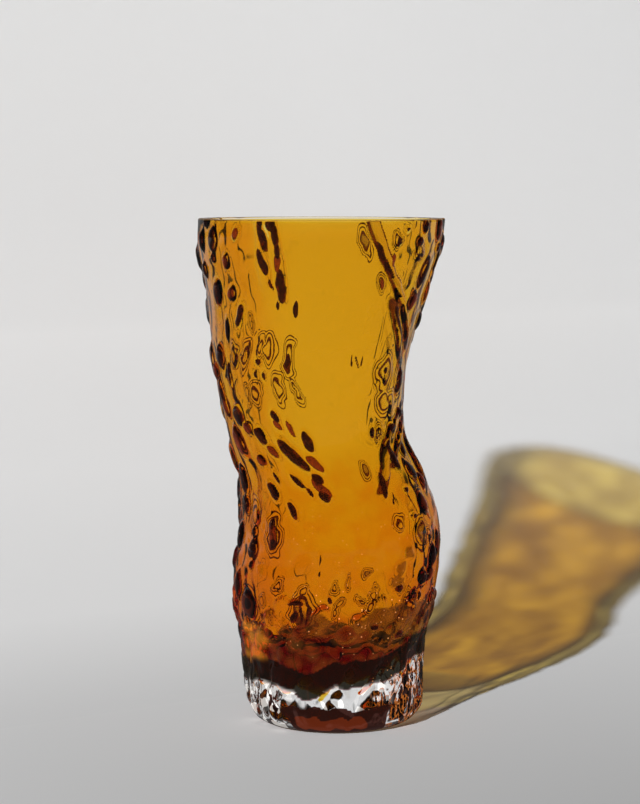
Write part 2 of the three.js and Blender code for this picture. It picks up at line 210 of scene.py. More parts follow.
# knobs without colour, which give both outlines their scallops
EDGE_BEADS = scattered(9, (84, 106), (186, 236), 5, 12, 6) + scattered(11, (-106, -84), (60, 234), 9, 13, 6)
WRINKLES = scattered(90, (-180, 180), (42, 66), 8, 9, 7)
FACETS = scattered(64, (-180, 180), (6, 40), 5, 14, 10)
# painted dark lines of shade on both sides of the foot: each climbs 11 mm and leans as a scattered bead does
starts = scattered(20, (-100, -30), (2, 12), 3) + scattered(14, (25, 95), (2, 14), 6)
FOOT_THREADS = [
    ([low, low + 5, low + 11], [middle, middle + lean / 4, middle + lean / 6])
    for middle, low, _, _, lean in starts
]
print(len(SIDE_BEADS + BACK_BEADS + EDGE_BEADS), "scattered beads,", len(WRINKLES + FACETS), "low down")

# %% Strings and threads
# heights, angles of each string from its lower end up
STRINGS = [
    ([184.5, 205.5, 223, 237.5, 250], [77, 54, 38.5, 29, 23.5]),
    ([180, 195, 205.5, 214.5], [67, 54.5, 46, 40]),
    ([117, 133, 147, 155, 161.5], [27.5, 40.5, 54.5, 71, 90]),
    ([128, 140, 149.5, 157], [40, 62, 79, 90]),
    ([114, 124, 134, 148], [80, 82, 85, 88]),
]
# strings that are as pale as the wall that they stand on
PALE_STRINGS = [
    ([212, 229, 242.5, 250], [-16, -18.5, -21.5, -24]),
    ([212, 226, 250], [-23, -26, -28]),
    ([120, 165, 215, 250], [-140, -128, -118, -122]),
    ([172, 205, 250], [112, 104, 100]),
]
# the dark core of three of the strings, a painted shade
ROPE_HEARTS = [
    ([219, 230.5, 242], [41, 31, 24.5]),
    ([180.5, 194.5, 202.5, 211], [68, 56.5, 48.5, 42.5]),
    ([150, 160, 177], [66, 80, 86]),
]
# dark lines as thin as a hair, a painted shade
THREADS = [
    ([244, 247, 250], [45, 47.5, 48]),
    ([239.5, 243, 250], [52, 51, 51]),
    ([230.5, 234.5, 238], [48, 47.5, 51]),
    ([232, 235.5, 238], [56.5, 56.5, 53]),
    ([231, 238], [54, 52]),
    ([217.5, 222], [56, 58.5]),
    ([105.5, 110.5, 113, 119], [52, 50.5, 49, 47]),
    ([111.5, 115.5, 118, 120.5], [35, 35, 36.5, 35.5]),
    ([143, 147.5, 151], [41, 43.5, 43.5]),
    ([178, 187], [24, 23]),
    ([177, 187], [28.5, 25.5]),
    ([178, 187], [29.5, 30.5]),
    ([189, 200, 211], [-64, -60, -61]),
    ([173, 187], [-57, -54]),
    ([182, 193], [-37, -36]),
    ([192, 196, 200], [-36, -32, -26]),
    ([184, 196], [-32, -29.5]),
    ([171.5, 180], [-32.5, -32.5]),
    ([168, 173, 176], [-55, -50, -44]),
]
print(len(STRINGS + PALE_STRINGS), "strings and", len(THREADS + FOOT_THREADS), "threads")

# %% [markdown]
# ## Heights as fields
#
# Each kind of mark is a field: a height from 0 to 1 at every point of the wall, worked out for all points
# at once. The highest mark wins where two overlap, which leaves the sharp valleys that glass has between
# two drops.

# %% Field of a bead and of a string
BEAD_STEEPNESS, BEAD_HEIGHT, STRING_HEIGHT = 0.36, 1.9, 1.8


def eased(t):
    """A straight rise from 0 to 1 made smooth at both ends: three times its square less twice its cube."""
    return t * t * (3 - 2 * t)


def mound(distance_squared):
    """A round hump with steep sides: 1 in the middle, a half at distance 1, and 0 a little further out."""
    return eased(np.clip(1 - distance_squared / 2, 0, 1))


def bead_field(beads, angle, z, radius, lifted=False):
    """The highest bead at each point, from 0 to 1, or in millimetres if lifted: wide beads stand higher."""
    most = np.zeros(np.broadcast(angle, z).shape)
    for middle, height, length, width, lean in beads:
        rows = np.any(np.abs(z - height) < length, axis=1)
        across = np.radians((angle[rows] - middle + 180) % 360 - 180) * radius[rows]
        up = z[rows] - height
        tilt = np.radians(lean)
        along = up * np.cos(tilt) + across * np.sin(tilt)
        aside = across * np.cos(tilt) - up * np.sin(tilt)
        top = min(BEAD_STEEPNESS * width, BEAD_HEIGHT) if lifted else 1.0
        hump = top * mound((2 * along / length) ** 2 + (2 * aside / width) ** 2)
        most[rows] = np.maximum(most[rows], hump)
    return most


def string_field(strings, angle, z, radius, width=5.0, taper=12.0):
    """The highest string at each point, from 0 to 1: a rounded thread along a curve, tapering at its ends."""
    most = np.zeros(np.broadcast(angle, z).shape)
    for heights, angles in strings:
        top = z * 0 + taper if heights[-1] >= HEIGHT else heights[-1] - z
        end = np.clip(np.minimum(z - heights[0], top) / taper, 0, 1)
        aside = np.radians((angle - through(heights, angles, z) + 180) % 360 - 180) * radius
        most = np.maximum(most, end * mound((2 * aside / width) ** 2))
    return most


# %% Ripples and zones
# millimetres round the wall, and a height over the rim for zones that run on upwards
WALL_ROUND, OVER_RIM = 330, 400
# start, end and soft margin of the plain zones, in degrees round the wall and millimetres up it
PLAIN_FRONT, PLAIN_BACK, PLAIN_HEIGHTS = (-22, 22, 14), (150, 210, 30), (70, OVER_RIM, 40)
FRONT_MIDDLE = 8


def ripple(angle, z, across, along, seed):
    """Smooth random height from -1 to 1: random numbers on a lattice round the wall, eased between cells."""
    round_cells = max(int(round(WALL_ROUND / across)), 3)
    lattice = np.random.default_rng(seed).uniform(-1, 1, (int(HEIGHT / along) + 3, round_cells))
    u, v = (angle / 360 % 1) * round_cells + 0 * z, z / along + 0 * angle
    i, j = np.floor(u).astype(int), np.floor(v).astype(int)
    s, t = eased(u - i), eased(v - j)
    left, right = i % round_cells, (i + 1) % round_cells
    low = lattice[j, left] * (1 - s) + lattice[j, right] * s
    high = lattice[j + 1, left] * (1 - s) + lattice[j + 1, right] * s
    return low * (1 - t) + high * t


def wave(kind, angle, z):
    """A ripple of a kind, which gives its strength, its width and length in millimetres, and its seed."""
    strength, across, along, seed = kind
    return strength * ripple(angle, z, across, along, seed)


def window(value, start, end, soft):
    """1 between start and end, easing to 0 over a soft margin on both sides."""
    return eased(np.clip((value - start) / soft + 0.5, 0, 1) * np.clip((end - value) / soft + 0.5, 0, 1))


def plain_zone(angle, z):
    """1 on the plain flats at the front and the back, which end above the wrinkled foot."""
    front = window(angle - FRONT_MIDDLE, *PLAIN_FRONT)
    back = window(np.abs(angle), *PLAIN_BACK)
    return np.maximum(front, back) * window(z, *PLAIN_HEIGHTS)


print("The front is plain for", PLAIN_FRONT[1] - PLAIN_FRONT[0], "degrees")


# %% [markdown]
# ## Where the amber ends
#
# The amber cup doesn't reach the foot. Its lower edge wanders up and down round the vase, and just above it
# the floor of the cup is so thick that it looks nearly black, which is painted as shade. The same curve sets
# the edge in the shape and in the painted band. Higher up, where the floor curves into the wall, lobes of
# painted brown shade and glow reach up to a second curve.

# %% Lower edge of the amber, and the tops of the lobes
EDGE_ANGLES = [-180, -120, -90, -72, -39, -16, 1, 26, 44, 58, 90, 180]
EDGE_HEIGHTS = [30, 26, 22, 23.5, 26, 21, 26, 28, 33, 37, 35, 30]
LOBE_ANGLES = [-180, -120, -85, -52, -39, -29, -20, -10, 8, 18, 28, 45, 70, 110, 180]
LOBE_HEIGHTS = [52, 45, 40, 37, 46, 53, 57, 60, 58, 61, 63, 65, 62, 56, 52]
# strength, width, length and seed of their wavers; the edge reads its own along one line
EDGE_WAVER, LOBE_WAVER, EDGE_LINE = (1.0, 6, 50, 31), (3.5, 7, 9, 32), 3
print("The amber ends", min(EDGE_HEIGHTS), "to", max(EDGE_HEIGHTS), "mm above the table")


def amber_edge(angle):
    """Height of the amber's lower edge: its curve, wavering by up to a millimetre."""
    return through(EDGE_ANGLES, EDGE_HEIGHTS, angle) + wave(EDGE_WAVER, angle, 0 * angle + EDGE_LINE)


def lobe_tops(angle, z):
    """Height that the brown lobes reach: their curve, wavering by up to 3.5 mm."""
    return through(LOBE_ANGLES, LOBE_HEIGHTS, angle) + wave(LOBE_WAVER, angle, z)


# %% [markdown]
# ## The mould's relief and the hand's waves
#
# The mould gives beads, strings, wrinkles and facets; the hand and the heat add soft waves, small on the
# wall and strong near the foot. Each wave is a ripple with its own strength and size, kept to its own zone.
# One function adds up both, and lets them fade into the smooth edge that the vase stands on.

# %% Marks with a colour of their own
SHAKE_ASIDE, SHAKE_UPWARD, MORE_SHAKEN = (0.7, 4, 4, 41), (0.7, 4, 4, 42), 2.5
# width and taper in millimetres
THREAD, ROPE_HEART, FOOT_THREAD = (1.0, 3), (3.2, 5), (1.0, 2)


def shaken_places(angle, z, radius):
    """Every place moved by a small ripple, so that no mark is a perfect oval, and by more for low marks."""
    aside, upward = wave(SHAKE_ASIDE, angle, z), wave(SHAKE_UPWARD, angle, z)
    near = (angle + aside, z + upward, radius)
    far_off = (angle + MORE_SHAKEN * aside, z + MORE_SHAKEN * upward, radius)
    return near, far_off


def marks(near, far_off):
    """Fields from 0 to 1 of the dark, red, ringed and brown marks, which are painted as shade, and of the
    strings.
    """
    dark = bead_field(DARK_BEADS + SIDE_BEADS, *near)
    dark = np.maximum(dark, string_field(THREADS, *near, *THREAD))
    dark = np.maximum(dark, string_field(ROPE_HEARTS, *near, *ROPE_HEART))
    dark = np.maximum(dark, string_field(FOOT_THREADS, *far_off, *FOOT_THREAD))
    return {
        "dark": dark,
        "red": bead_field(RED_BEADS, *near),
        "ring": bead_field(RINGS + SIDE_RINGS + SMALL_RINGS, *far_off),
        "brown": bead_field(BROWN_BEADS, *far_off),
        "string": string_field(STRINGS, *near),
    }


# %% Relief and waves
# strength, width and length in millimetres, and seed of each kind of wave
ROLL, GRAIN, SHIMMER = (0.3, 9, 14, 11), (0.08, 4, 6, 12), (0.05, 8, 10, 13)
LOW_ROLL, HIP_ROLL = (0.5, 8, 6, 14), (0.3, 9, 7, 18)
FOOT_FOLDS, FOOT_SHARDS = (0.6, 2.8, 12, 19), (1.0, 2.2, 2.8, 17)
# start, end and soft margin of zones, in millimetres up the wall or degrees round it
LOW_WALL, HIP, OVER_FOOT = (-50, 58, 20), (50, 118, 24), (36, 66, 12)
RIGHT_FRONT, RIGHT_FOOT = (18, 85, 20), (2, 34, 5)
LEFT_FRONT, LEFT_FOOT = (-100, -30, 16), (2, 33, 5)
LOW_MARKS, WRINKLE_SHARE, SHARDS_OVER_FOOT, SHARDS_ON_FOOT, FOOT_FADE = 0.35, 0.8, 0.16, 0.45, 12
print("The wall rolls by", ROLL[0], "mm, and the left of the foot folds by", FOOT_FOLDS[0], "mm")


def mould_relief(near, far_off, strings):
    """Height in millimetres of all that the mould left: where marks meet, the highest counts."""
    knobs = DARK_BEADS + RED_BEADS + SIDE_BEADS + BACK_BEADS + EDGE_BEADS
    low_marks = RINGS + SIDE_RINGS + BROWN_BEADS
    lift = bead_field(knobs, *near, lifted=True)
    lift = np.maximum(lift, LOW_MARKS * bead_field(low_marks, *far_off, lifted=True))
    lift = np.maximum(lift, STRING_HEIGHT * np.maximum(strings, string_field(PALE_STRINGS, *near)))
    lift = np.maximum(lift, WRINKLE_SHARE * bead_field(WRINKLES, *near, lifted=True))
    return np.maximum(lift, bead_field(FACETS, *near, lifted=True))


def waves(angle, z):
    """Height in millimetres of the waves: none on the plain flats, stronger low down, sharp on the foot."""
    rolling = (1 - plain_zone(angle, z)) * (wave(ROLL, angle, z) + wave(GRAIN, angle, z))
    low = window(z, *LOW_WALL) * wave(LOW_ROLL, angle, z) + window(z, *HIP) * wave(HIP_ROLL, angle, z)
    broken = SHARDS_OVER_FOOT * window(z, *OVER_FOOT) + SHARDS_ON_FOOT * window(z, *RIGHT_FOOT)
    shards = window(angle, *RIGHT_FRONT) * broken
    folds = window(angle, *LEFT_FRONT) * window(z, *LEFT_FOOT) * wave(FOOT_FOLDS, angle, z)
    return rolling + wave(SHIMMER, angle, z) + low + shards * wave(FOOT_SHARDS, angle, z) + folds


def outer_relief(angle, z, radius):
    """Height of the outside above the smooth form: relief plus waves, fading out at the foot's edge."""
    near, far_off = shaken_places(angle, z, radius)
    marked = marks(near, far_off)
    rise = mould_relief(near, far_off, marked["string"]) + waves(angle, z)
    return rise * eased(np.clip(z / FOOT_FADE, 0, 1)), marked, near


# %% [markdown]
# ## The paint of the near wall
#
# What looks like dark paint on such a vase is light bent away: a steep bead shows the dark of the room, and
# the thick floor shows hardly any light. It could be left to the path tracer, but that asks for the real
# room, the real depth of every bead and very many samples. So the fields that raise the relief are also
# kept as numbers on the mesh, for the material to paint by.

# %% Painted shade of the floor and lobes, and redder amber
# reach of the band below and above the edge, and soft margins of amber, band and lobes, in millimetres
BAND_LOW, BAND_HIGH, AMBER_FADE, BAND_FADE, LOBE_FADE = 2.6, 10.5, 1.6, 1, 1.2
# how much of the band's shade lobes and brown beads have, and the part of a brown bead's field that has it
LOBE_SHARE, BROWN_SHARE, BROWN_BEAD = 0.5, 0.45, (0.5, 2, 0.3)
# redder zones, the mottling of the belly, and the paler halos round the beads, which are painted highlights
DEEP_LEFT, DEEP_WALL, BELLY_DEPTH = (-140, -22, 30), (50, OVER_RIM, 10), (50, 125, 20)
MOTTLE, LOW_MOTTLE, LOW_MOTTLE_WALL = 0.35, 0.3, (40, 72, 16)
BROAD_MOTTLE, FINE_MOTTLE = (0.9, 9, 8, 38), (0.4, 4, 4, 39)
HALO_LENGTH, HALO_WIDTH, HALO_SHARE, HALO_WALL = 1.8, 2.8, 0.7, (105, OVER_RIM, 20)
print("The dark band is", BAND_LOW + BAND_HIGH, "mm high")


def floor_shade(angle, z, edge, brown):
    """1 in the nearly black band above the amber's edge, a half in the lobes over it and in brown beads."""
    band = window(z, edge - BAND_LOW, edge + BAND_HIGH, BAND_FADE)
    lobes = LOBE_SHARE * window(z, edge + BAND_HIGH, lobe_tops(angle, z), LOBE_FADE)
    return np.maximum(band + lobes, BROWN_SHARE * window(brown, *BROWN_BEAD))


def deep_amber(angle, z, near):
    """1 where the amber looks redder: down the left and in belly patches, less in painted highlights round
    beads.
    """
    mottle = MOTTLE + LOW_MOTTLE * window(z, *LOW_MOTTLE_WALL)
    mottle = mottle + wave(BROAD_MOTTLE, angle, z) + wave(FINE_MOTTLE, angle, z)
    deep = np.maximum(window(angle, *DEEP_LEFT), np.clip(mottle * window(z, *BELLY_DEPTH), 0, 1))
    wide_beads = (np.array(DARK_BEADS) * (1, 1, HALO_LENGTH, HALO_WIDTH, 1)).tolist()
    halo = bead_field(wide_beads, *near) * window(z, *HALO_WALL)
    return deep * (1 - HALO_SHARE * halo) * window(z, *DEEP_WALL)


# %% Paint of the foot, and all the fields
# zones as start, end and soft margin; wavers as strength, width, length and seed
# the patch and its blush are a painted reflection of the amber floor in the foot; the tongue is painted light
PATCH_ANGLES, BLUSH_ANGLES, TONGUE_ANGLES = (-31, 40, 6), (-24, 19, 6), (-76, -47, 8)
PATCH_HEIGHTS, BLUSH_HEIGHTS = (-5, 13.5, 0.9), (2.8, 9, 1)
PATCH_WAVER, BLUSH_WAVER, DRIFT = (1.8, 6, 40, 35), (1.5, 4, 9, 36), (7, 12, 5, 37)
BEAD_GRAIN, CORD_GRAIN = (0.12, 2.2, 3.5, 15), (0.06, 3, 6, 34)
CLEAR_ANGLES, SHARD_ANGLES = (-115, 36, 16), (26, 100, 14)
LOBE_SPARKS, FOOT_SPARKS = [(-25, 85, 24), (42, 74, 16)], [(25, 95, 16), (2, 32, 6)]
BELLY_SPARKS, BELLY_SPARK_SHARE = (80, 110, 20), 0.3
print("The foot shows amber up to", PATCH_HEIGHTS[1], "mm above the table")


def foot_patch(angle, z, shifted):
    """The painted reflection of the amber above in the foot's patch, and a field: a half on it, 1 where it
    blushes.
    """
    patch = window(shifted, *PATCH_ANGLES) * window(z + wave(PATCH_WAVER, angle, z), *PATCH_HEIGHTS)
    blush = window(shifted, *BLUSH_ANGLES) * window(z + wave(BLUSH_WAVER, angle, z), *BLUSH_HEIGHTS)
    return patch, 0.5 * patch + 0.5 * blush


def sparkling(angle, z):
    """How likely painted glints are: over the lobes, on the right of the foot and a little on the belly."""
    lobes, foot = (window(angle, *around) * window(z, *up) for around, up in (LOBE_SPARKS, FOOT_SPARKS))
    return lobes + foot + BELLY_SPARK_SHARE * window(z, *BELLY_SPARKS)


def near_wall_paint(angle, z, marked, near):
    """Fields for the material: the amber, and where painted shade, reflection and light go on marks, band and
    foot.
    """
    edge = amber_edge(angle)
    grain = wave(BEAD_GRAIN, angle, z)
    shifted = angle + wave(DRIFT, angle, z)
    patch, patch_and_blush = foot_patch(angle, z, shifted)
    return {
        "heart": marked["dark"] + grain,
        "red": marked["red"] + grain,
        "ring": marked["ring"],
        "cord": marked["string"] + wave(CORD_GRAIN, angle, z),
        "amber": window(z, edge, OVER_RIM, AMBER_FADE),
        "shade": floor_shade(angle, z, edge, marked["brown"]),
        "patch": patch_and_blush,
        # painted light: an orange glow of amber low on the left
        "tongue": window(shifted, *TONGUE_ANGLES) * window(z, edge + 9, 52, 4),
        # painted highlights on the facets of the foot
        "foot": window(z, 1, edge - 2, 2) * (1 - patch) * window(angle, *CLEAR_ANGLES),
        # painted glints
        "sparkle": sparkling(angle, z),
        # painted shade and glints in the broken glass of the foot's right
        "shards": window(angle, *SHARD_ANGLES) * window(z, 1.5, edge - 3, 4) * (1 - patch),
        "deep": deep_amber(angle, z, near),
    }


# %% [markdown]
# ## Meshes from grids
#
# Both pieces are grids of rings. A small helper puts a grid of points into a mesh, closes it round the vase
# and caps it with a point at each pole, and stores the fields as attributes so that a material finds the
# beads again.

# %% Grid to mesh
def in_scene(name, data):
    """A new object for a mesh, a lamp or a camera, linked to the scene at the origin."""
    made = bpy.data.objects.new(name, data)
    bpy.context.scene.collection.objects.link(made)
    return made


def ring_mesh(name, rings, bottom, top, fields):
    """Mesh of rings (rows, columns, 3) closed round the vase, with a fan to the bottom and one to the top."""
    rows, columns, _ = rings.shape
    points = np.vstack([rings.reshape(-1, 3), bottom, top])
    here = np.arange(rows * columns).reshape(rows, columns)
    beside = np.roll(here, -1, axis=1)
    quads = np.stack([here[:-1], beside[:-1], beside[1:], here[1:]], axis=-1).reshape(-1, 4)
    low = np.stack([beside[0], here[0], np.full(columns, rows * columns)], axis=-1)
    high = np.stack([here[-1], beside[-1], np.full(columns, rows * columns + 1)], axis=-1)
    corners = np.concatenate([quads.ravel(), low.ravel(), high.ravel()]).astype(np.int32)
    sizes = np.r_[np.full(len(quads), 4), np.full(2 * columns, 3)].astype(np.int32)
    mesh = bpy.data.meshes.new(name)
    mesh.vertices.add(len(points))
    mesh.vertices.foreach_set("co", points.astype(np.float32).ravel())
    mesh.loops.add(len(corners))
    mesh.loops.foreach_set("vertex_index", corners)
    mesh.polygons.add(len(sizes))
    mesh.polygons.foreach_set("loop_start", np.r_[0, np.cumsum(sizes)[:-1]].astype(np.int32))
    mesh.polygons.foreach_set("use_smooth", np.ones(len(sizes), bool))
    mesh.update(calc_edges=True)
    for field, values in fields.items():
        attribute = mesh.attributes.new(field, "FLOAT", "POINT")
        numbers = np.r_[values.ravel(), values[0, 0], values[-1, 0]]
        attribute.data.foreach_set("value", numbers.astype(np.float32))
    print(name, "triangles:", 2 * len(quads) + 2 * columns)
    return in_scene(name, mesh)


# %% [markdown]
# ## The clear casing
#
# One closed surface: flat underside, rounded foot, wall with its relief, rim, and down the inside of the
# cavity to its floor. A Solidify modifier could give the wall, but the foot is far thicker than the wall,
# so the inside is a cup of its own, with its own depths below the outer form. The columns stand closer
# together at the front.

# %% Walls and floors of the two layers
COLUMNS, WALL_ROWS, FOOT_ROWS, INNER_ROWS, CORNER_ROWS, FRONT_CROWDING = 360, 212, 11, 34, 9, 0.35
turns = np.linspace(-np.pi, np.pi, COLUMNS, endpoint=False)
ANGLES = np.degrees(turns - FRONT_CROWDING * np.sin(turns))[None, :]
RIM_EDGE = 0.8
CLEAR_FOOT, CAVITY_FLOOR = 20.0, 39.0
CASING_CORNER, CAVITY_CORNER = 20.0, 12.0
# shares of its radius at which a floor or the underside has a ring of points
FLOOR_SHARES, UNDERSIDE_SHARES = (0.75, 0.4), (0.35, 0.7)
WALL_HEIGHTS = [0, 98, 142, 250]
CLEAR_WALL = [5.0, 4.2, 3.9, 3.0]
AMBER_WALL = [5.6, 3.9, 2.5, 2.5]
BOTH_WALLS = [clear + amber for clear, amber in zip(CLEAR_WALL, AMBER_WALL)]


def cup(floor, corner, walls):
    """Heights and radii down a cup: wall, round corner and floor, each at its depth below the outer form."""
    wall = np.linspace(HEIGHT - RIM_EDGE, floor + corner, INNER_ROWS)[:, None]
    bend = np.radians(np.linspace(90, 0, CORNER_ROWS))[1:-1, None]
    z = np.vstack([wall, floor + corner * (1 - np.cos(bend))])
    inset = np.vstack([0 * wall, corner * (1 - np.sin(bend))])
    radii = form_radius(ANGLES, z) - through(WALL_HEIGHTS, walls, z) - inset
    shares = np.array(FLOOR_SHARES)[:, None]
    return np.vstack([z, np.full((2, 1), floor)]), np.vstack([radii, shares * radii[-1:]])


print("Wall at the rim:", BOTH_WALLS[-1], "mm, amber floor:", CAVITY_FLOOR - CLEAR_FOOT, "mm")

# %% Outside of the casing
foot_turns = np.radians(np.linspace(0, 90, FOOT_ROWS))[:-1, None]
wall_z = np.linspace(FOOT_EDGE, HEIGHT - RIM_EDGE, WALL_ROWS)[:, None]
outer_z = np.vstack([FOOT_EDGE * (1 - np.cos(foot_turns)), wall_z])
inset = np.vstack([FOOT_EDGE * (1 - np.sin(foot_turns)), 0 * wall_z])
outer_form = form_radius(ANGLES, outer_z)
rise, marked, near = outer_relief(ANGLES, outer_z, outer_form)
outer_radius = outer_form - inset + rise
foot_radius = np.array(UNDERSIDE_SHARES)[:, None] * outer_radius[:1]
print("Relief, from", round(float(rise.min()), 2), "to", round(float(rise.max()), 2), "mm above the form")

# %% Rim, inside and mesh of the casing
rim_turns = np.radians([30, 60, 90])[:, None]
rim_z = HEIGHT - RIM_EDGE * (1 - np.sin(rim_turns))
rim_radius = outer_radius[-1:] - RIM_EDGE * (1 - np.cos(rim_turns))
cavity_z, cavity_radius = cup(CAVITY_FLOOR, CAVITY_CORNER, BOTH_WALLS)
lip_radius = cavity_radius[:1] + RIM_EDGE * (1 - np.cos(rim_turns[:-1]))[::-1]
casing_z = np.vstack([np.zeros((2, 1)), outer_z, rim_z, rim_z[:-1][::-1], cavity_z])
casing_radius = np.vstack([foot_radius, outer_radius, rim_radius, lip_radius, cavity_radius])
inside_rows = len(casing_z) - len(outer_z) - 2
# the inside is amber all over, and carries no other mark
fields = {
    name: np.vstack([np.zeros((2, COLUMNS)), values, np.full((inside_rows, COLUMNS), float(name == "amber"))])
    for name, values in near_wall_paint(ANGLES, outer_z, marked, near).items()
}
fields["amber"] = fields["amber"] * (casing_z < HEIGHT - RIM_EDGE - 0.3)
# the rim's field lets the material paint light on the lip
fields["rim"] = 1.0 * (casing_z > HEIGHT - RIM_EDGE + 0.1) + 0 * casing_radius
cavity_bottom = place(0.0, np.array(CAVITY_FLOOR), 0.0)
casing = ring_mesh("cased_glass", place(ANGLES, casing_z, casing_radius), (0, 0, 0), cavity_bottom, fields)

# %% [markdown]
# ## The amber layer
#
# The amber stands between the fused surface and the cavity. It is a closed shell just under the cavity's
# skin, so a ray meets clear glass, then amber, then air, as in the real vase. The shell bends no light. It
# only takes colour from it, and more of it where the path is longer. Its floor hangs lower where the
# amber's edge is lower.

# %% Amber layer
SKIN, OVERLAP, EDGE_MIDDLE, HANGING, FULL_HANG = 0.15, 0.2, 24, (-50, 46, 30), 30
fused_z, fused_radius = cup(CLEAR_FOOT, CASING_CORNER, CLEAR_WALL)
inner_z, inner_radius = cup(CAVITY_FLOOR - SKIN, CAVITY_CORNER + SKIN, BOTH_WALLS)
fused_z = np.minimum(fused_z, HEIGHT - RIM_EDGE - OVERLAP)
hang = (amber_edge(ANGLES) - EDGE_MIDDLE) * window(fused_z, *HANGING)
hang = hang * np.clip(fused_radius / FULL_HANG, 0, 1)
amber_z = np.vstack([(fused_z + hang)[::-1], inner_z - OVERLAP + 0 * ANGLES])
amber_radius = np.vstack([fused_radius[::-1], inner_radius + SKIN])
amber_bottom = place(0.0, np.array(CLEAR_FOOT), 0.0)
amber_top = place(0.0, np.array(CAVITY_FLOOR - SKIN), 0.0)
amber = ring_mesh("amber_layer", place(ANGLES, amber_z, amber_radius), amber_bottom, amber_top, {})


# %% [markdown]
# ## Shader helpers
#
# Masks are easier to read as sums than as a web of nodes. So a socket gets the operators of a number and
# two ways to make a share from 0 to 1, a share can fade one colour into another, and one method adds every
# other node.

# %% Signals and wiring
class Signal:
    """A socket that can be added, taken away, multiplied and divided like a number."""

    def __init__(self, wiring, socket):
        self.wiring, self.socket = wiring, socket

    def maths(self, operation, first, second):
        """One Math node."""
        return self.wiring.node("Math", {"operation": operation}, {0: first, 1: second})

    def __add__(self, other):
        return self.maths("ADD", self, other)

    def __sub__(self, other):
        return self.maths("SUBTRACT", self, other)

    def __rsub__(self, other):
        return self.maths("SUBTRACT", other, self)

    def __mul__(self, other):
        return self.maths("MULTIPLY", self, other)

    def __truediv__(self, other):
        return self.maths("DIVIDE", self, other)

    __radd__ = __add__
    __rmul__ = __mul__

    def rising(self, start, end):
        """0 below start and 1 above end, in a straight line, or the other way round if start is larger."""
        return self.wiring.node("MapRange", {}, {0: self, 1: start, 2: end, 3: 0.0, 4: 1.0})

    def easing(self, start, end):
        """The same, smooth at both ends."""
        smooth = {"interpolation_type": "SMOOTHSTEP"}
        return self.wiring.node("MapRange", smooth, {0: self, 1: start, 2: end, 3: 0.0, 4: 1.0})

    def fade(self, first, second):
        """The first colour where this share is 0, the second where it is 1, and a mix between."""
        return self.wiring.node("Mix", {"data_type": "RGBA"}, {0: self, 6: first, 7: second}, 2)


class Wiring:
    """The node tree of a material or of the world, emptied first."""

    def __init__(self, owner):
        owner.use_nodes = True
        self.tree = owner.node_tree
        self.tree.nodes.clear()

    def node(self, kind, settings, inputs, output=0):
        """Adds a node, sets its settings and then its sockets, and returns one of its outputs."""
        made = self.tree.nodes.new("ShaderNode" + kind)
        for name, value in settings.items():
            setattr(made, name, value)
        for name, value in inputs.items():
            if isinstance(value, Signal):
                self.tree.links.new(value.socket, made.inputs[name])
            else:
                made.inputs[name].default_value = value
        return Signal(self, made.outputs[output]) if made.outputs else None

    def painted(self, name):
        """Value of one of the mesh's fields."""
        return self.node("Attribute", {"attribute_name": name}, {}, "Fac")

    def ray(self, kind):
        """1 for rays of a kind, such as Is Camera Ray."""
        return self.node("LightPath", {}, {}, kind)

    def part(self, vector, letter):
        """One number of a vector: its X, Y or Z."""
        return self.node("SeparateXYZ", {}, {0: vector}, letter)

    def first_of(self, colour):
        """The red part of a colour, which in a Voronoi cell's colour is a random number of that cell."""
        return self.node("SeparateColor", {}, {0: colour})

    def distance(self, spot, moved):
        """How far a place is from the origin after it has been moved."""
        shifted = self.node("VectorMath", {"operation": "ADD"}, {0: spot, 1: moved})
        return self.node("VectorMath", {"operation": "LENGTH"}, {0: shifted}, "Value")

    def mixed_shader(self, share, first, second):
        """The first shader where the share is 0, the second where it is 1."""
        return self.node("MixShader", {}, {0: share, 1: first, 2: second})


def lit_through(wiring, glass, tint):
    """Glass for every ray but a lamp's, which goes straight through a tinted film, for a soft shadow."""
    film = wiring.node("BsdfTransparent", {}, {"Color": tint})
    return wiring.mixed_shader(wiring.ray("Is Shadow Ray"), glass, film)


# %% [markdown]
# ## Clear glass
#
# Clear glass is a Principled surface that lets everything through and bends it by 1.5. Its colour is white
# at the foot and a light amber above, with the marks of the near wall painted over it in layers as painted
# shade, the densest last. Only the outside is painted, so that the far wall's marks don't cover the near
# one's. A little emission is painted light: it stands for the light that the steep glass gathers and for the
# reflection in the foot, and no more than that, so that the vase looks right under other lamps.

# %% Colours of the glass
BLACK, WHITE = (0, 0, 0, 1), (1, 1, 1, 1)
AMBER, DEEP_AMBER = (1.0, 0.84, 0.38, 1), (0.97, 0.64, 0.22, 1)
# painted shade of the lobes, of the thick floor and of the strings
LOBE_BROWN, FLOOR_BROWN, ROPE_BROWN = (0.1, 0.045, 0.05, 1), (0.001, 0.001, 0.0006, 1), (0.75, 0.52, 0.2, 1)
# painted shade: the dark lines of rings and strings
RING_LINE, ROPE_LINE = (0.02, 0.002, 0.001, 1), (0.05, 0.006, 0.001, 1)
# painted shade of the red and the dark beads, of the foot's patch and of its shards
EMBER, RED_BROWN, PAINTED_DARK = (0.055, 0.0035, 0.0007, 1), (0.03, 0.0018, 0.0005, 1), (0.0018, 0.0003, 0.0002, 1)
# painted light: glows for light that the steep glass gathers, a painted reflection in the foot and painted
# glints
LOBE_GLOW, FLOOR_GLOW = (0.065, 0.022, 0.003, 1), (0.005, 0.0024, 0.001, 1)
TONGUE_GLOW = (0.34, 0.12, 0.008, 1)
RED_GLOW, HEART_GLOW = (0.055, 0.008, 0.002, 1), (0.007, 0.001, 0.0006, 1)
PATCH_GLOW, BLUSH_GLOW = (0.02, 0.004, 0.002, 1), (0.11, 0.015, 0.003, 1)
FACET_GLOW, SHARD_GLOW = (0.52, 0.5, 0.47, 1), (0.42, 0.12, 0.02, 1)
RIM_GLOW, SPARKLE = (0.09, 0.05, 0.014, 1), (0.75, 0.3, 0.1, 1)

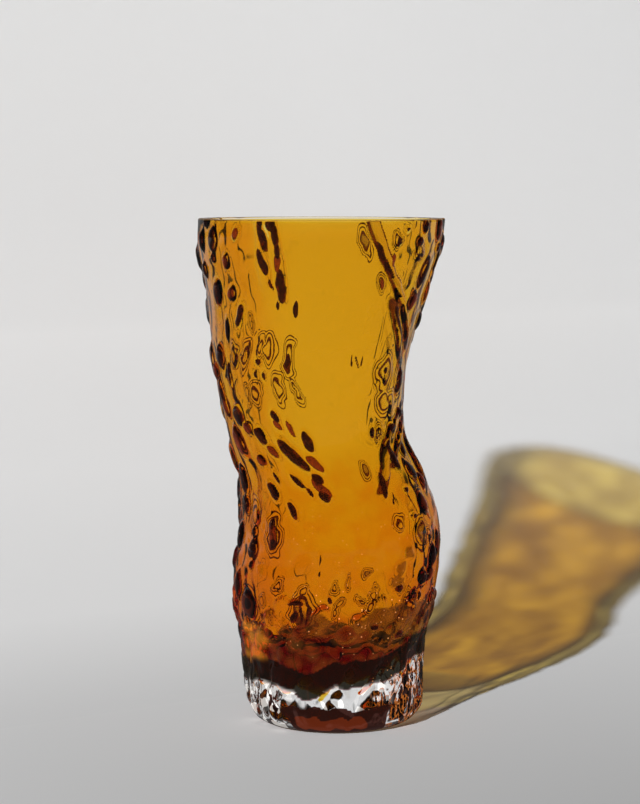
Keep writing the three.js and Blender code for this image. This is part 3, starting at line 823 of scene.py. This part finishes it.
# %% Patterns of the glass
# cells of each pattern in a metre
BLOT_CELLS, BLOB_CELLS, FACET_CELLS, SHARD_CELLS, SPECK_CELLS = 350.0, 150.0, 210.0, 330.0, 550.0
clear = bpy.data.materials.new("clear_glass")
wiring = Wiring(clear)
spot = wiring.node("TexCoord", {}, {}, "Object")
outside = 1 - wiring.node("NewGeometry", {}, {}, "Backfacing")
heart, red, ring, cord = (wiring.painted(name) for name in ("heart", "red", "ring", "cord"))
above, shade, patch, shards = (wiring.painted(name) for name in ("amber", "shade", "patch", "shards"))
blots = wiring.node("TexNoise", {}, {"Vector": spot, "Scale": BLOT_CELLS, "Detail": 3.0}, "Fac")
blobs = wiring.node("TexVoronoi", {}, {"Vector": spot, "Scale": BLOB_CELLS}, "Distance")
facets = wiring.first_of(wiring.node("TexVoronoi", {}, {"Vector": spot, "Scale": FACET_CELLS}, "Color"))
drawn_up = wiring.node("Mapping", {}, {"Vector": spot, "Scale": (1, 1, 0.45)})
grain = wiring.node("TexNoise", {}, {"Vector": drawn_up, "Scale": SHARD_CELLS, "Detail": 4.0}, "Fac")
specks = {"Vector": spot, "Scale": SPECK_CELLS}
speck = wiring.node("TexVoronoi", {}, specks, "Distance").rising(0.24, 0.14)
chosen = wiring.first_of(wiring.node("TexVoronoi", {}, specks, "Color")).rising(0.8, 0.84)

# %% Masks of the marks
# between which values of its field each mark comes up
LOBE_EDGE, BAND_EDGE, PATCH_EDGE = (0.1, 0.5), (0.5, 0.9), (0.2, 0.3)
BEAD_EDGE, ROPE_EDGE = (0.45, 0.55), (0.3, 0.5)
# a low bead is drawn as lines at a few equal steps of its height, so it shows as rings
RING_STEP, RING_WAVER = 0.19, 0.1
RED_CORE, HEART_CORE = (0.62, 0.76), (0.38, 0.52)
fold = wiring.node("Math", {"operation": "PINGPONG"}, {0: ring - 0.5, 1: RING_STEP})
ring_line = (fold + RING_WAVER * (blots - 0.5)).rising(0.1, 0.06) * ring.rising(0.06, 0.1)
rope_line = cord.rising(0.05, 0.14) * cord.rising(0.8, 0.64)
red_core = (blots + 0.5 * (red - 0.75)).rising(*RED_CORE).fade(EMBER, PAINTED_DARK)
heart_core = (blots + 0.6 * (heart - 0.7)).rising(*HEART_CORE).fade(RED_BROWN, PAINTED_DARK)
print("Patterns and masks:", len(wiring.tree.nodes), "nodes")

# %% Colour that the glass lets through, with the painted shade of the marks
colour = above.fade(WHITE, wiring.painted("deep").fade(AMBER, DEEP_AMBER))
colour = (cord.rising(*ROPE_EDGE) * outside).fade(colour, ROPE_BROWN)
colour = (shade.rising(*LOBE_EDGE) * outside).fade(colour, LOBE_BROWN)
colour = (shade.rising(*BAND_EDGE) * outside).fade(colour, FLOOR_BROWN)
colour = (ring_line * outside).fade(colour, RING_LINE)
colour = (rope_line * outside).fade(colour, ROPE_LINE)
colour = (red.rising(*BEAD_EDGE) * outside).fade(colour, red_core)
colour = (heart.rising(*BEAD_EDGE) * outside).fade(colour, heart_core)
# the foot's patch is painted dark under its painted reflection, and the shards' grain is painted shade
colour = patch.rising(*PATCH_EDGE).fade(colour, PAINTED_DARK)
colour = (grain.rising(0.53, 0.49) * shards * outside).fade(colour, PAINTED_DARK)

# %% Painted light that the steep glass gathers
# between which values of its pattern each light comes up
LOBE_BLOBS, TONGUE_BLOBS, FACET_LIGHT = (0.75, 0.2), (0.9, 0.3), (0.54, 0.86)
SHARD_START, SHARD_END = (0.45, 0.48), (0.53, 0.5)
glow = (shade.rising(*LOBE_EDGE) * blobs.rising(*LOBE_BLOBS)).fade(BLACK, LOBE_GLOW)
glow = shade.rising(*BAND_EDGE).fade(glow, FLOOR_GLOW)
glow = (wiring.painted("tongue") * blobs.rising(*TONGUE_BLOBS)).fade(glow, TONGUE_GLOW)
glow = red.rising(0.5, 0.9).fade(glow, RED_GLOW)
glow = heart.rising(*BEAD_EDGE).fade(glow, HEART_GLOW)
# painted highlights on the foot's facets
glow = (facets.rising(*FACET_LIGHT) * heart.rising(0.5, 0.4) * wiring.painted("foot")).fade(glow, FACET_GLOW)
glow = (grain.rising(*SHARD_START) * grain.rising(*SHARD_END) * shards).fade(glow, SHARD_GLOW)
# painted light on the lip
glow = wiring.painted("rim").fade(glow, RIM_GLOW)
# the patch's glow is a painted reflection of the amber floor
blush = patch.rising(0.7 + 0.2 * (blots - 0.5), 0.85).fade(PATCH_GLOW, BLUSH_GLOW)
glow = patch.rising(*PATCH_EDGE).fade(glow, blush)
# painted glints
glow = (speck * chosen * wiring.painted("sparkle")).fade(glow, SPARKLE)

# %% Film that colours the shadow
GRAZING_FILM, FOOT_FILM = (0.22, 0.19, 0.13, 1), (0.7, 0.62, 0.5, 1)
DARK_FILM, LIGHT_FILM = (0.78, 0.63, 0.29, 1), (1, 0.85, 0.39, 1)
STREAK_CELLS = 55.0
grazing = wiring.node("LayerWeight", {}, {"Blend": 0.5}, "Facing").rising(0.35, 0.85)
streaky = wiring.node("TexNoise", {}, {"Vector": spot, "Scale": STREAK_CELLS, "Detail": 3.0}, "Fac")
film = above.fade(FOOT_FILM, streaky.rising(0.42, 0.6).fade(DARK_FILM, LIGHT_FILM))
film = (0.9 * grazing).fade(film, GRAZING_FILM)
print("With colour, glow and film:", len(wiring.tree.nodes), "nodes")

# %% Clear glass put together
glass = wiring.node(
    "BsdfPrincipled",
    {},
    {
        "Base Color": colour,
        "Roughness": 0.0,
        "IOR": 1.5,
        "Transmission Weight": 1.0,
        "Emission Color": outside.fade(BLACK, glow),
        "Emission Strength": 1.0,
    },
)
wiring.node("OutputMaterial", {}, {"Surface": lit_through(wiring, glass, film)})
casing.data.materials.append(clear)
print("Clear glass has", len(wiring.tree.nodes), "nodes in all")

# %% [markdown]
# ## Amber glass
#
# The amber gets deeper where there is more of it in the way, at the sides and in the floor. A coloured
# surface would be simpler, but it has one colour whatever stands behind it. So the amber is a volume that
# takes light away along the path, most of the blue and hardly any of the red. Its surface has no bend and
# no colour, because the casing's surface has them already.

# %% Amber glass
# share of red, green and blue light that a millimetre takes away
TAKEN = np.array([0.016, 0.108, 0.66])
tint = bpy.data.materials.new("amber_glass")
wiring = Wiring(tint)
skin = {"Base Color": WHITE, "Roughness": 0.0, "IOR": 1.0, "Transmission Weight": 1.0}
glass = wiring.node("BsdfPrincipled", {}, skin)
taken_colour = (*(1 - TAKEN / TAKEN.max()), 1)
density = float(TAKEN.max() / MM)
volume = wiring.node("VolumeAbsorption", {}, {"Color": taken_colour, "Density": density})
wiring.node("OutputMaterial", {}, {"Surface": lit_through(wiring, glass, WHITE), "Volume": volume})
amber.data.materials.append(tint)
print("A millimetre of amber lets through", (1 - TAKEN).round(3), "of red, green and blue")

# %% Pieces on their body
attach(casing, "root")
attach(amber, "root")
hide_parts("clear_casing")
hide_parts("amber_liner")
# the casing's film alone colours the shadow
amber.visible_shadow = False
print("Pieces on root:", casing.name, "and", amber.name)

# %% [markdown]
# ## The studio
#
# A plain pale floor, a sweep of pale paper that curves up behind the vase, a little askew, and one lamp low
# on the left, which lays the amber shadow on both. The paper can be seen from its lit side only, so the
# vase can be looked at from behind as well. The room is darker overhead, which gives the glass its dark
# edges.

# %% Direction of the lamp
LAMP_AZIMUTH, LAMP_HEIGHT = np.radians(28.0), np.radians(24.0)
TOWARDS_LAMP = (
    -np.sin(LAMP_AZIMUTH) * np.cos(LAMP_HEIGHT),
    -np.cos(LAMP_AZIMUTH) * np.cos(LAMP_HEIGHT),
    np.sin(LAMP_HEIGHT),
)
print("The lamp stands", round(float(np.degrees(LAMP_HEIGHT))), "degrees up, to the left of the camera")

# %% Floor
PALE, FLOOR_SIZE, BELOW_FOOT = 0.71, 12, -0.0003
NEAR_GREY, FAR_GREY = (0.6, 0.6, 0.6, 1), (0.97, 0.97, 0.97, 1)
MIRRORED_DIM, BENT_EVEN, EVEN_FROM = 0.85, 0.8, (0.95, 2.2)
# painted shade: the floor is greyer towards the front and the right, as the light falls off there
# the floor and the paper are greyest round a point in front of the vase, to its right, and paler away from it
TO_GREYEST, GREY_RADII = (-0.2, 0.3, 0), (0.15, 0.75)
bpy.ops.mesh.primitive_plane_add(size=FLOOR_SIZE)
floor = bpy.context.object
floor.name = "floor"
floor.location.z = BELOW_FOOT
pale = bpy.data.materials.new("pale_floor")
wiring = Wiring(pale)
spot = wiring.node("TexCoord", {}, {}, "Object")
mirrored, bent = wiring.ray("Is Glossy Ray"), wiring.ray("Is Transmission Ray")
# a reflection on the glass sees a darker floor, and the light through it a floor that is lit evenly
front = wiring.part(spot, "Y").rising(1.4, 0.7)
dim = MIRRORED_DIM * (mirrored * (1 - bent) * (0.6 + 0.4 * front))
shaded = wiring.distance(spot, TO_GREYEST).rising(*GREY_RADII).fade(NEAR_GREY, FAR_GREY)
matt = wiring.node("BsdfDiffuse", {}, {"Color": dim.fade(shaded, BLACK)})
even = wiring.node("Emission", {}, {"Color": (PALE, PALE, PALE, 1), "Strength": 1 - dim})
reach = wiring.distance(spot, (0, 0, 0)).easing(*EVEN_FROM)
floor_surface = wiring.mixed_shader(reach + BENT_EVEN * bent * (1 - reach), matt, even)
wiring.node("OutputMaterial", {}, {"Surface": floor_surface})
floor.data.materials.append(pale)
print("The floor is", FLOOR_SIZE, "m wide and its material has", len(wiring.tree.nodes), "nodes")

# %% Paper sweep
# metres from the vase to where the paper leaves the floor, radius of its bend, half its width, and its top
SWEEP_START, SWEEP_RADIUS, SWEEP_HALF_WIDTH, SWEEP_TOP, SWEEP_ROWS = 0.07, 0.18, 3.0, 1.5, 40
SWEEP_TURN, ON_FLOOR = np.radians(-34.0), -0.0002
bend = np.radians(np.linspace(0, 90, SWEEP_ROWS))
behind = np.r_[SWEEP_START + SWEEP_RADIUS * np.sin(bend), SWEEP_START + SWEEP_RADIUS]
up = np.r_[SWEEP_RADIUS * (1 - np.cos(bend)), SWEEP_TOP] + ON_FLOOR
across = np.array([[-SWEEP_HALF_WIDTH], [SWEEP_HALF_WIDTH]])
sweep_x = across * np.cos(SWEEP_TURN) + behind * np.sin(SWEEP_TURN)
sweep_y = behind * np.cos(SWEEP_TURN) - across * np.sin(SWEEP_TURN)
points = np.stack([sweep_x, sweep_y, up + 0 * across], axis=-1)
steps = np.arange(len(behind) - 1)
quads = np.stack([steps, steps + len(behind), steps + len(behind) + 1, steps + 1], axis=-1)
mesh = bpy.data.meshes.new("paper_sweep")
mesh.from_pydata(points.reshape(-1, 3).tolist(), [], quads.tolist())
mesh.shade_smooth()
sweep = in_scene("paper_sweep", mesh)
print("The paper leaves the floor", 1000 * SWEEP_START, "mm behind the middle of the vase")

# %% Paper
# painted shade: the paper is greyer higher up and to the right, as the light falls off there
WALL_LEVEL, DARKER_UP, DARKER_RIGHT = 0.98, 0.12, 0.07
paper = bpy.data.materials.new("pale_paper")
wiring = Wiring(paper)
spot = wiring.node("TexCoord", {}, {}, "Object")
high, right = wiring.part(spot, "Z"), wiring.part(spot, "X")
normal = wiring.node("NewGeometry", {}, {}, "Normal")
facing = wiring.node("VectorMath", {"operation": "DOT_PRODUCT"}, {0: normal, 1: TOWARDS_LAMP}, "Value")
floor_level = 0.6 + 0.37 * wiring.distance(spot, TO_GREYEST).rising(*GREY_RADII)
wall_level = WALL_LEVEL - DARKER_UP * high.rising(0.1, 0.19) - DARKER_RIGHT * right.rising(0, 0.25)
level = floor_level + high.rising(0, 0.03) * (wall_level - floor_level)
# the bend turns to the lamp, so its colour is made darker by as much as it is lit more than the floor
level = float(np.sin(LAMP_HEIGHT)) * level / facing
grey = wiring.node("CombineColor", {}, {0: level, 1: level, 2: level})
matt = wiring.node("BsdfDiffuse", {}, {"Color": grey})
unseen = wiring.node("BsdfTransparent", {}, {"Color": WHITE})
back = wiring.node("NewGeometry", {}, {}, "Backfacing")
wiring.node("OutputMaterial", {}, {"Surface": wiring.mixed_shader(back, matt, unseen)})
sweep.data.materials.append(paper)
sweep.visible_glossy = sweep.visible_transmission = sweep.visible_diffuse = False
print("The paper's material has", len(wiring.tree.nodes), "nodes")

# %% World
# brightness of the room through the glass and how much more low down, the same mirrored in it and how
# much more behind it, and for every other ray
THROUGH, MORE_LOW, MIRRORED, MORE_BEHIND, ELSEWHERE = 0.05, 0.66, 0.04, 0.16, 0.05
world = bpy.data.worlds.new("pale_room")
bpy.context.scene.world = world
wiring = Wiring(world)
direction = wiring.node("TexCoord", {}, {}, "Generated")
low = wiring.part(direction, "Z").easing(0.3, 0.06)
behind_vase = wiring.part(direction, "Y").rising(0.55, 1.0)
seen = wiring.ray("Is Camera Ray")
bent, mirrored = wiring.ray("Is Transmission Ray"), wiring.ray("Is Glossy Ray")
through_glass = bent * (THROUGH + MORE_LOW * low)
off_glass = (1 - bent) * mirrored * (MIRRORED + MORE_BEHIND * behind_vase)
elsewhere = (1 - bent) * (1 - mirrored) * ELSEWHERE
strength = PALE * seen + (1 - seen) * (through_glass + off_glass + elsewhere)
sky = wiring.node("Background", {}, {"Color": WHITE, "Strength": strength})
wiring.node("OutputWorld", {}, {"Surface": sky})
print("The room has", len(wiring.tree.nodes), "nodes")

# %% Lamp
LAMP_POWER, LAMP_WIDTH = 4.65, 1.5
lamp = bpy.data.lights.new("window", "SUN")
lamp.angle, lamp.energy = np.radians(LAMP_WIDTH), LAMP_POWER
print("The lamp gives", LAMP_POWER, "watts on a square metre that faces it")
key = in_scene("window", lamp)
key.rotation_euler = Vector(TOWARDS_LAMP).to_track_quat("Z", "Y").to_euler()
key.visible_glossy = False
key.visible_transmission = False

# %% Camera
# lens and film in millimetres, place of the camera in metres, and how many degrees it looks down
LENS, FILM_WIDTH, EYE, LOOKS_DOWN = 98.5, 36.0, (-0.0075, -1.0891, 0.2665), 5.642
camera = bpy.data.cameras.new("camera")
camera.lens, camera.sensor_width, camera.sensor_fit = LENS, FILM_WIDTH, "AUTO"
eye_point = in_scene("camera", camera)
eye_point.location = EYE
eye_point.rotation_euler = (np.radians(90 - LOOKS_DOWN), 0, 0)
bpy.context.scene.camera = eye_point
bpy.context.scene.view_settings.view_transform = "Standard"
print("The camera stands", round(-1000 * EYE[1]), "mm in front of the vase")
